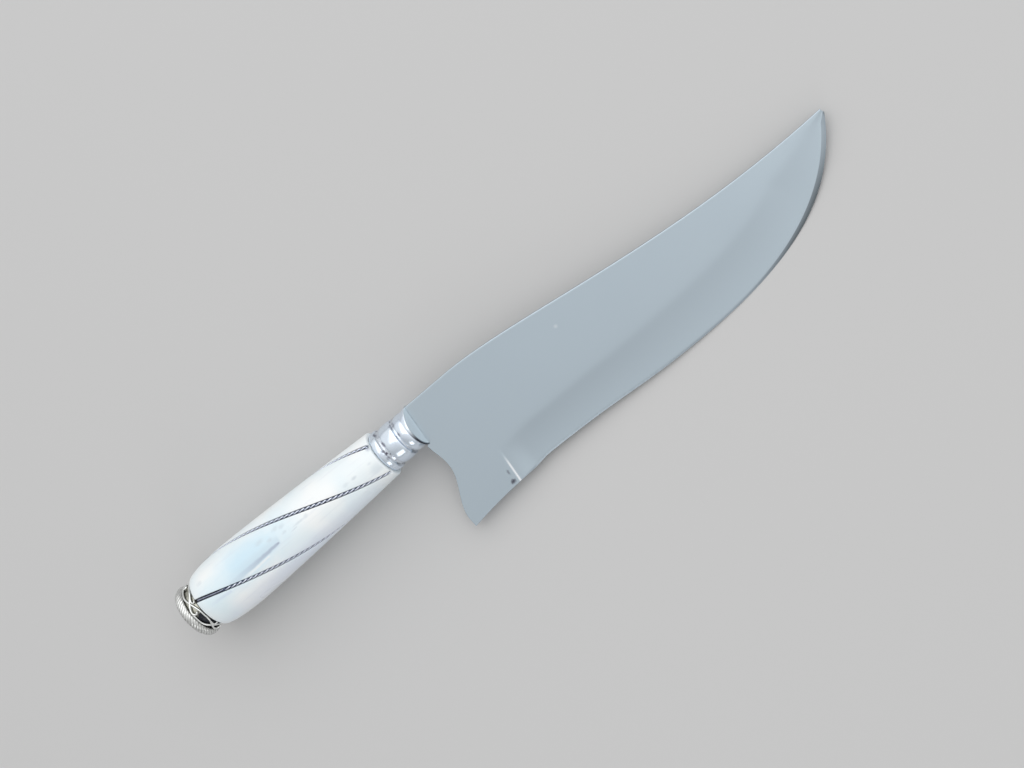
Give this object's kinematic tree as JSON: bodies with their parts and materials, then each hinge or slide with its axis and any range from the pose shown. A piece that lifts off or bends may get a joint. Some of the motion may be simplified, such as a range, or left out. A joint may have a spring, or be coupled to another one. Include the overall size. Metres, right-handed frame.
{
  "type": "carving knife",
  "caption": "Wide carving knife with a hollow-ground blade, a turned silver bolster, a bone handle inlaid with spiral twisted wires, and a filigree pommel.",
  "frame": {"origin": "under the middle of the knife's box as it lies on its side, at the level of the handle's lowest line", "axes": "+X along the handle's axis towards the blade's tip, +Y across the blade towards the spine, +Z out of the blade's side"},
  "size_m": [0.3536, 0.0656, 0.0307],
  "materials": {
    "blade_steel": "satin",
    "polished_silver": "polished",
    "bone": "satin",
    "wire_silver": "polished",
    "cutlers_resin": "matte",
    "black_fibre": "matte",
    "dark_silver": "satin",
    "aged_silver": "satin",
    "plain_steel": "satin"
  },
  "bodies": {
    "root": {"blade": "blade_steel", "bolster": "polished_silver", "handle": "bone", "spiral_wire_1": "wire_silver", "spiral_wire_2": "wire_silver", "spiral_wire_3": "wire_silver", "spiral_wire_4": "wire_silver", "tang_bed": "cutlers_resin", "rear_spacer": "black_fibre", "pommel_cup": "dark_silver", "filigree_band": "aged_silver", "rope_rim": "aged_silver", "end_plate": "aged_silver", "tang_washer": "plain_steel", "tang_nut": "plain_steel"}
  },
  "joints": []
}
